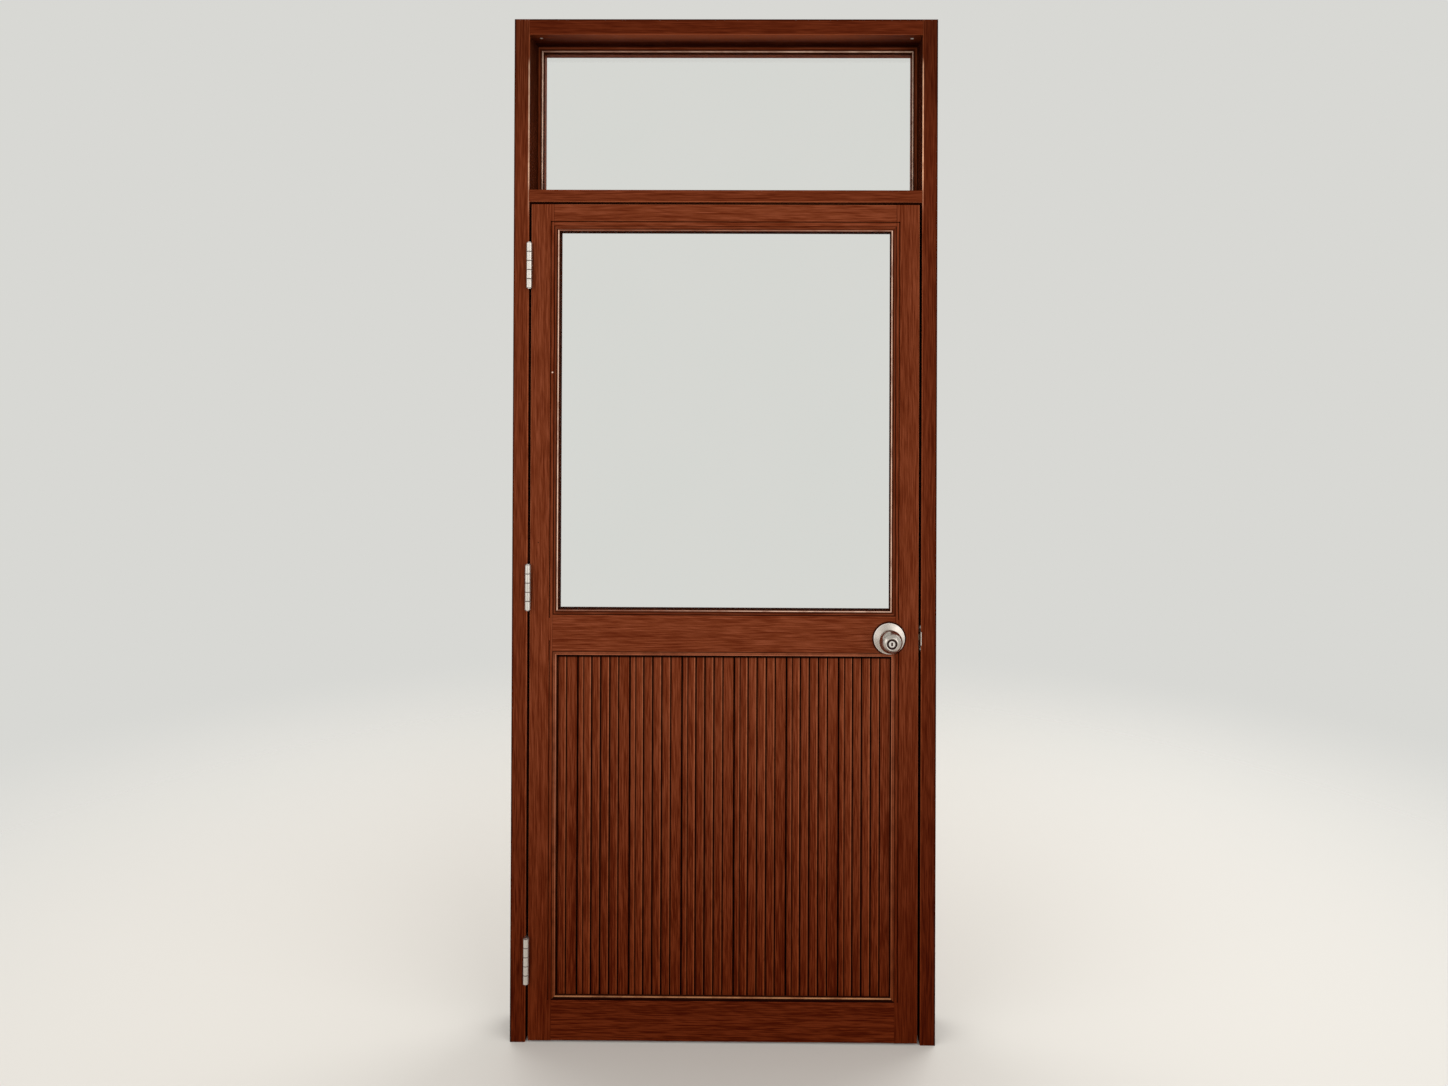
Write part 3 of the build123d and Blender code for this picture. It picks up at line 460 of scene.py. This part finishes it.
# Jambs of the frame
jambs = {
    "recessShade": (0.003, 0.012),
    "recessShadeTone": 0.5,
    "arris": (0.003, 0.7),  # painted highlight on the arris by the opening: half width, strength, and so on below
    "arrisHighlight": (0.0036, 0.95),  # a stronger painted highlight beside the transom light
    "highlightFrom": (2.05, 2.2),  # heights between which it fades in
    "wornTo": (2.45, 2.48),  # and out
    # how much that painted highlight also lifts the shade
    "highlightLift": {"jamb_hinge_side": 0.1, "jamb_lock_side": 1.0},
    # painted shade along the outer edge, where the frame meets the wall
    "outside": (0.005, 0.6),
    "topShade": (2.15, 2.5),  # the whole jamb darkens between these heights
    "topTone": 0.66,
    "hingeShade": (0.0125, 0.6),
    "hingeReach": 1.06,  # how far up and down it goes, in half lengths of a hinge
}
hinges = [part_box(f"hinge_{level}_jamb_half") for level in ("top", "middle", "bottom")]
pinX = sum(corner[0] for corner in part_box("hinge_pins")) / 2


def jambLines(wood, name):
    shader, height = wood.shader, wood.across[2]
    edges = (wood.high[0], wood.low[0])
    opening, outside = edges if name.endswith("hinge_side") else reversed(edges)
    wood.recessShade(*jambs["recessShade"], tone=jambs["recessShadeTone"])
    wood.paintHighlight(0, opening, *jambs["arris"], "crown")
    # A stronger painted highlight beside the transom light, which also lifts the shade
    half, strength = jambs["arrisHighlight"]
    worn = shader.fit(height, *jambs["highlightFrom"], 0.0, strength)
    worn = worn * shader.fit(height, *jambs["wornTo"], 1.0, 0.0)
    wood.paintHighlight(0, opening, half, worn)
    light = worn * wood.band(0, opening, half) * wood.front * jambs["highlightLift"][name]
    wood.shade = wood.shade * (1.0 + light)
    wood.joint(0, outside, *jambs["outside"])
    wood.shade = wood.shade * shader.fit(height, *jambs["topShade"], 1.0, jambs["topTone"])


def hingeShades(wood):
    half, strength = jambs["hingeShade"]
    for bottom, top in hinges:
        middle, reach = (bottom[2] + top[2]) / 2, (top[2] - bottom[2]) / 2
        mask = wood.band(0, pinX, half) * wood.band(2, middle, reach * jambs["hingeReach"])
        wood.paint(mask * wood.front * strength, "joint")


# Head and transom bar
overhead = {
    "arris": (0.0016, 0.6),  # painted highlight along the arris: half width, strength, and so on below
    "underside": (0.002, 0.9),  # it catches light along its front, less towards the jambs
    "undersideDepth": (0.004, 0.06),  # behind the face
    "sideRange": (0.25, 0.47),  # from the middle
    "sideShare": 0.2,
    "recessShade": (0.02, 0.075),
    "recessShadeTone": 0.3,
    # painted shade along the head's top edge, where it meets the wall
    "headTop": (0.005, 0.6),
}


def overheadLines(wood, name):
    shader, bottom = wood.shader, wood.low[2]
    wood.paintHighlight(2, bottom, *overhead["arris"], "crown")
    near, far = (wood.low[1] + depth for depth in overhead["undersideDepth"])
    lit = shader.fit(wood.across[1], near, far, 1.0, 0.0)
    off = shader.maths("ABSOLUTE", wood.across[0])
    lit = lit * shader.fit(off, *overhead["sideRange"], 1.0, overhead["sideShare"])
    half, strength = overhead["underside"]
    wood.paint(wood.band(2, bottom, half) * lit * strength, "crown")
    wood.recessShade(*overhead["recessShade"], tone=overhead["recessShadeTone"])
    if name == "head":
        wood.joint(2, wood.high[2], *overhead["headTop"])


# Every timber piece: the upright ones have their grain along Z, the level ones along X
tones = {
    "jamb_hinge_side": 0.8, "jamb_lock_side": 0.64, "head": 0.54, "transom_bar": 0.78,
    "stop_hinge_side": 0.7, "stop_lock_side": 0.7, "stop_top": 0.7,
    "stile_lock_side": 0.9, "rail_lock": 1.06, "rail_bottom": 0.95,
    "panel_board": 0.98,
}
kinds = {
    "panel_board_": boardLines, "rail_": railLines, "stile_": stileLines,
    "jamb_": jambLines, "transom_bar": overheadLines, "head": overheadLines,
}


def isWooden(name):
    starts = ("jamb_", "head", "stop_", "stile_", "rail_", "panel_", "transom_bar",
              "transom_bead_", "transom_stop_", "glass_bead_")
    return name.startswith(starts) and not name.endswith("_screws")


wooden = [name for name in sorted(nodes) if isWooden(name)]
for number, name in enumerate(wooden):
    level = name.endswith(("_top", "_bottom", "_bar", "_lock")) or name == "head"
    tone = tones.get(name.rstrip("_1234567"), 1.0)
    wood = Timber(name, "X" if level else "Z", number + 1, tone)
    if name in beads["noseStrength"]:
        beadLines(wood, name, 2 if level else 0)
    for start, lines in kinds.items():
        if name.startswith(start):
            lines(wood, name)
    if name in ("rail_lock", "stile_lock_side"):
        roseShade(wood)
    if name in ("jamb_hinge_side", "stile_hinge_side"):
        hingeShades(wood)
    wood.finish(name)
print("timber dressed:", len(wooden), "pieces")

# Satin steel of the hinges, the latch and the knobset
steel = {
    "pale": (206, 198, 190),
    "deep": (168, 158, 148),
    "bright": (238, 233, 226),
    "brightDeep": (214, 206, 198),
    "zinc": (218, 212, 204),
    "zincDeep": (188, 181, 173),
    # the bolt's steel, darkened as painted shade
    "bolt": (112, 98, 84),
    "shadedBoltDeep": (84, 72, 60),
    # painted shade in seams, holes and the key slot
    "paintedShade": (62, 24, 12),
    "paintedShadeRoughness": 0.8,
    "roughness": 0.38,
    # noises: scale per metre, detail, roughness
    "clouds": (55.0, 4.0, 0.55),
    "cloudSpread": 0.16,
    "brush": (1500.0, 2.0, 0.6),
    "brushSpread": 0.2,
    "upright": (1.0, 1.0, 0.08),  # brushed along its height
    "inwards": (1.0, 0.08, 1.0),
    "even": (1.0, 1.0, 1.0),
    "ringSoft": 0.0006,
    "bump": (0.12, 0.0002),  # strength, distance
}


class Steel:
    def __init__(self, name, pale="pale", deep="deep", roughness=steel["roughness"]):
        self.material, self.shader = newMaterial("steel_" + name)
        shader = self.shader
        self.place = shader.place()
        clouds = shader.noise(self.place, *steel["clouds"])
        self.colour = shader.blend(clouds, colour(pale, steel), colour(deep, steel))
        self.rough = roughness + (clouds - 0.5) * steel["cloudSpread"]
        self.metallic = 1.0

    def brushed(self, stretch):
        fine = self.shader.vector("MULTIPLY", self.place, stretch)
        self.brush = self.shader.swing(fine, *steel["brush"])

    # Distance from the knob's axis, which lies along Y
    def radius(self):
        shader = self.shader
        off = shader.vector("SUBTRACT", self.place, (knobCentre[0], 0.0, knobCentre[2]))
        return shader.measure("LENGTH", shader.vector("MULTIPLY", off, (1.0, 0.0, 1.0)))

    # Fine rings round the knob's axis, as a lathe leaves them
    def turned(self):
        depth = self.shader.split(self.place)[1]
        ring = self.shader.node("ShaderNodeCombineXYZ", None, {0: self.radius(), 1: depth})
        self.brush = self.shader.swing(ring, *steel["brush"])

    # 1 between two radii round the knob's axis
    def ring(self, inside, outside):
        radius, soft = self.radius(), steel["ringSoft"]
        beyond = self.shader.fit(radius, inside, inside + soft)
        return beyond * self.shader.fit(radius, outside, outside + soft, 1.0, 0.0)

    # How far from the knob's middle along an axis
    def off(self, axis):
        place = self.shader.split(self.place)[axis]
        return self.shader.maths("ABSOLUTE", place - knobCentre[axis])

    def paint(self, mask, tint):
        self.colour = self.shader.blend(mask, self.colour, colour(tint, steel))

    # Painted shade: dark, rough and not metallic
    def paintedShade(self, mask):
        self.paint(mask, "paintedShade")
        self.rough = self.shader.maths("MAXIMUM", self.rough, mask * steel["paintedShadeRoughness"])
        self.metallic = self.metallic * (1.0 - mask)

    def finish(self, *names):
        surface(self.shader, {
            "Base Color": self.colour,
            "Metallic": self.metallic,
            "Roughness": self.rough + self.brush * steel["brushSpread"],
            "Normal": self.shader.bump(self.brush, *steel["bump"]),
        })
        dress(self.material, *names)


# Hinges with painted shade in the seams between their knuckles
knuckles = {
    "count": 5, "seamHalf": 0.0017, "seamCore": 0.4, "seamStrength": 0.85,
    "roughness": 0.44, "brush": (1.0, 1.0, 0.06),
}
for level, (bottom, top) in zip(("top", "middle", "bottom"), hinges):
    pitch = (top[2] - bottom[2]) / knuckles["count"]
    metal = Steel("hinge_" + level, "zinc", "zincDeep", knuckles["roughness"])
    metal.brushed(knuckles["brush"])
    shader, half = metal.shader, knuckles["seamHalf"]
    turn = (shader.split(metal.place)[2] - bottom[2]) / pitch
    seam = shader.maths("ABSOLUTE", shader.maths("FRACT", turn + 0.5) - 0.5) * pitch
    core = half * knuckles["seamCore"]
    metal.paintedShade(shader.fit(seam, core, half, knuckles["seamStrength"], 0.0))
    metal.finish(f"hinge_{level}_jamb_half", f"hinge_{level}_leaf_half")

# Roses, knobs and the key plug with its slot
knobset = {
    "roseRoughness": 0.42,
    "rim": 0.0022,  # width of the painted highlight on the rose's rim
    "rimStrength": 0.8,
    "knobRoughness": 0.26,
    "mouth": 0.0128,  # radius of the painted shade round the key plug
    "plugFace": 0.0074,  # and of the plug's bright face
    # strength of the painted shade
    "paintedShade": 0.95,
    "slotHalf": {0: 0.0023, 2: 0.0044},  # by axis
    "slotSoft": 0.0003,
}
metal = Steel("rose", roughness=knobset["roseRoughness"])
metal.turned()
# painted highlight on the rose's rim
rim = metal.ring(roseRadius - knobset["rim"], roseRadius)
metal.paint(rim * knobset["rimStrength"], "bright")
metal.finish("rose_outer", "rose_inner", "turn_button")
metal = Steel("knob", "brightDeep", "deep", knobset["knobRoughness"])
metal.turned()
# painted shade round the key plug
metal.paintedShade(metal.ring(0.0, knobset["mouth"]) * knobset["paintedShade"])
metal.finish("knob_outer", "knob_inner")
metal = Steel("key_plug", "bright", "pale")
metal.turned()
# painted shade beyond the plug's face, and in the key slot
metal.paintedShade(metal.ring(knobset["plugFace"], roseRadius) * knobset["paintedShade"])
slot, soft = 1.0, knobset["slotSoft"]
for axis, half in knobset["slotHalf"].items():
    slot = metal.shader.fit(metal.off(axis), half - soft, half + soft, 1.0, 0.0) * slot
metal.paintedShade(slot)
metal.finish("key_plug")

# Latch, its strike plate with painted shade above and below the bolt, and the bolt, darkened as
# painted shade
latch = {"bandFrom": (0.0165, 0.0175), "bandTo": (0.0235, 0.0245), "bandStrength": 0.9}
metal = Steel("latch", "bright", "pale")
metal.brushed(steel["upright"])
metal.finish("latch_case", "latch_hub", "spindle", "hinge_pins")
metal = Steel("strike", "bright", "pale")
metal.brushed(steel["upright"])
shader, off = metal.shader, metal.off(2)
band = shader.fit(off, *latch["bandFrom"])
metal.paintedShade(band * shader.fit(off, *latch["bandTo"], latch["bandStrength"], 0.0))
metal.finish("strike_plate")
metal = Steel("bolt", "bolt", "shadedBoltDeep")
metal.brushed(steel["inwards"])
metal.finish("latch_bolt")
print("steel dressed")

# Cross-headed screws in place of the plain ones
screws = {
    "bodies": {
        "jamb_screws": "frame", "head_screws": "frame",
        "leaf_screws": "leaf", "rose_screws": "leaf",
    },
    "segments": 28,
    "crossLength": 0.0046,
    "crossWidth": 0.0013,
    "crossDepth": 0.0018,
    "floorShare": 0.5,  # how long the cross is at its floor
    "pointLength": 0.006,
    "pointShare": 0.1,  # the point's radius, of the shank's
    "endShare": 0.02,  # of a screw's length, where its ends are measured
    "weld": 1e-6,
}


def crossOutline(length, width):
    a, b = length / 2, width / 2
    return [(a, b), (b, b), (b, a), (-b, a), (-b, b), (-a, b),
            (-a, -b), (-b, -b), (-b, -a), (b, -a), (b, -b), (a, -b)]


# The separate screws of a node, as lists of points
def islands(name):
    mesh = bmesh.new()
    mesh.from_mesh(nodes[name].data)
    bmesh.ops.remove_doubles(mesh, verts=mesh.verts, dist=screws["weld"])
    left = set(mesh.verts)
    found = []
    for start in mesh.verts:
        if start not in left:
            continue
        left.remove(start)
        front, seen = [start], []
        while front:
            vertex = front.pop()
            seen.append(vertex.co.copy())
            for edge in vertex.link_edges:
                other = edge.other_vert(vertex)
                if other in left:
                    left.remove(other)
                    front.append(other)
        found.append(seen)
    mesh.free()
    return found


# Where a screw's head is, which way it points, its length and its two radii
def screwPlace(points):
    low = Vector([min(p[i] for p in points) for i in range(3)])
    high = Vector([max(p[i] for p in points) for i in range(3)])
    size = high - low
    along = max(range(3), key=lambda i: size[i])
    middle = (low + high) / 2

    def radius(points):
        flat = [[0 if i == along else p[i] - middle[i] for i in range(3)] for p in points]
        return max(Vector(p).length for p in flat)

    slack = size[along] * screws["endShare"]
    ends = {-1: [p for p in points if p[along] < low[along] + slack],
            1: [p for p in points if p[along] > high[along] - slack]}
    headSide = max(ends, key=lambda side: radius(ends[side]))
    head = middle.copy()
    head[along] = high[along] if headSide > 0 else low[along]
    outwards = Vector([headSide if i == along else 0 for i in range(3)])
    return head, outwards, size[along], radius(ends[headSide]), radius(ends[-headSide])


def addScrew(mesh, head, outwards, length, headRadius, shankRadius):
    turn = outwards.to_track_quat("Z", "Y")
    count = screws["segments"]

    def points(outline, depth):
        return [mesh.verts.new(head + turn @ Vector((x, y, -depth))) for x, y in outline]

    def ring(radius, depth):
        angles = [math.tau * i / count for i in range(count)]
        return points([(radius * math.cos(a), radius * math.sin(a)) for a in angles], depth)

    def cross(share, depth):
        reach, width = screws["crossLength"] * share, screws["crossWidth"] * (share + 1) / 2
        return points(crossOutline(reach, width), depth)

    def wall(upper, lower):
        for i in range(len(upper)):
            j = (i + 1) % len(upper)
            mesh.faces.new((upper[i], lower[i], lower[j], upper[j]))

    rim = ring(headRadius, 0)
    mouth, floor = cross(1.0, 0), cross(screws["floorShare"], screws["crossDepth"])
    flat = [[turn.inverted() @ (v.co - head) for v in loop] for loop in (rim, mouth)]
    corners = rim + mouth
    for triangle in tessellate_polygon(flat):
        mesh.faces.new([corners[i] for i in triangle])
    wall(mouth, floor)
    mesh.faces.new(floor)
    neck = ring(shankRadius, headRadius - shankRadius)
    end = ring(shankRadius, length - screws["pointLength"])
    point = ring(shankRadius * screws["pointShare"], length)
    wall(rim, neck)
    wall(neck, end)
    wall(end, point)
    mesh.faces.new(list(reversed(point)))


def crossScrews(node, body):
    built = bmesh.new()
    for points in islands(node):
        addScrew(built, *screwPlace(points))
    bmesh.ops.recalc_face_normals(built, faces=built.faces)
    mesh = bpy.data.meshes.new(node + "_crossed")
    built.to_mesh(mesh)
    built.free()
    piece = bpy.data.objects.new(node + "_crossed", mesh)
    bpy.context.scene.collection.objects.link(piece)
    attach(piece, body)
    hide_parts(node)
    metal = Steel(node, "bright", "brightDeep")
    metal.brushed(steel["even"])
    metal.finish(node)
    mesh.materials.append(metal.material)


for node, body in screws["bodies"].items():
    crossScrews(node, body)
print("screws cut")

# Clear glass
glass = {
    "tint": (0.96, 0.98, 0.97),
    "clear": (0.99, 0.995, 0.99),
    "haze": (3.0, 2.0, 0.55),  # scale per metre, detail, roughness
    "refraction": 1.45,
}
material, shader = newMaterial("clear_glass")
haze = shader.noise(shader.place(), *glass["haze"])
surface(shader, {
    "Base Color": shader.blend(haze, (*glass["tint"], 1), (*glass["clear"], 1)),
    "Roughness": 0.0,
    "IOR": glass["refraction"],
    "Transmission Weight": 1.0,
})
dress(material, "door_glass", "transom_glass")
print("glass dressed")

# Pale floor that fades into the backdrop
stage = {
    "floor": (220, 216, 209),
    "floorRoughness": 0.7,
    "near": 1.0,  # metres from the door, where the floor starts to fade
    "reach": 4.2,
    "backdrop": (216, 216, 212),
    "ambient": (1, 0.985, 0.96),
    "ambientStrength": 0.68,
}


def paleFloor():
    mesh = bpy.data.meshes.new("floor")
    reach = stage["reach"]
    corners = [(-reach, -reach, 0), (reach, -reach, 0), (reach, reach, 0), (-reach, reach, 0)]
    mesh.from_pydata(corners, [], [(0, 1, 2, 3)])
    floor = bpy.data.objects.new("floor", mesh)
    bpy.context.scene.collection.objects.link(floor)
    material, shader = newMaterial("pale_floor")
    distance = shader.measure("LENGTH", shader.place())
    surface(shader, {
        "Base Color": colour("floor", stage),
        "Roughness": stage["floorRoughness"],
        "Alpha": shader.fit(distance, stage["near"], reach, 1.0, 0.0),
    })
    mesh.materials.append(material)


paleFloor()

# Soft studio light
lamps = {
    "key": {"place": (3.5, -3.6, 2.6), "size": 4.8, "power": 125},
    "fill": {"place": (-3.7, -3.4, 2.4), "size": 4.4, "power": 80},
    "back": {"place": (3.5, 3.4, 2.8), "size": 4.0, "power": 120},
    "backFill": {"place": (-3.5, 3.4, 2.4), "size": 4.0, "power": 80},
}
target = Vector((0, 0, 1.3))
for name, lamp in lamps.items():
    light = bpy.data.lights.new(name, "AREA")
    light.energy = lamp["power"]
    light.size = lamp["size"]
    holder = bpy.data.objects.new(name, light)
    holder.location = lamp["place"]
    holder.visible_transmission = False
    holder.rotation_euler = (target - holder.location).to_track_quat("-Z", "Y").to_euler()
    bpy.context.scene.collection.objects.link(holder)

# The camera, glossy rays and glass see the backdrop, and all else the ambient light
world = bpy.data.worlds.new("studio")
world.use_nodes = True
world.node_tree.nodes.clear()
bpy.context.scene.world = world
sky = Shader(world.node_tree)
rays = sky.node("ShaderNodeLightPath").socket.node.outputs
seen = Wire(sky, rays["Is Camera Ray"]) + Wire(sky, rays["Is Glossy Ray"])
seen = sky.maths("MINIMUM", seen + Wire(sky, rays["Is Transmission Ray"]), 1.0)
sockets = {"Color": (*stage["ambient"], 1), "Strength": stage["ambientStrength"]}
ambient = sky.node("ShaderNodeBackground", None, sockets)
sockets = {"Color": colour("backdrop", stage), "Strength": 1.0}
backdrop = sky.node("ShaderNodeBackground", None, sockets)
mixed = sky.node("ShaderNodeMixShader", None, {0: seen, 1: ambient, 2: backdrop})
sky.node("ShaderNodeOutputWorld", None, {"Surface": mixed})
print("floor and lights placed")

# Camera at the photograph's place
view = {
    "place": (0.1261, -2.461, 1.5827),
    "yaw": 0.0077, "pitch": 0.0042, "roll": 0.0038,
    "focalPixels": 967.35,
    "centrePixels": (767.3, 408.4),
    "imagePixels": (1448, 1086),
    "sensorWidth": 36,
}
imageWidth, imageHeight = view["imagePixels"]
camera = bpy.data.cameras.new("camera")
camera.sensor_width = view["sensorWidth"]
camera.lens = view["focalPixels"] / imageWidth * camera.sensor_width
camera.shift_x = (imageWidth / 2 - view["centrePixels"][0]) / imageWidth
camera.shift_y = (view["centrePixels"][1] - imageHeight / 2) / imageWidth
holder = bpy.data.objects.new("camera", camera)
turn = Matrix.Rotation(view["yaw"], 4, "Z") @ Matrix.Rotation(math.pi / 2 + view["pitch"], 4, "X")
turn = turn @ Matrix.Rotation(view["roll"], 4, "Z")
holder.matrix_world = Matrix.Translation(view["place"]) @ turn
bpy.context.scene.collection.objects.link(holder)
bpy.context.scene.camera = holder
bpy.context.scene.view_settings.view_transform = "Standard"

print("scene ready")
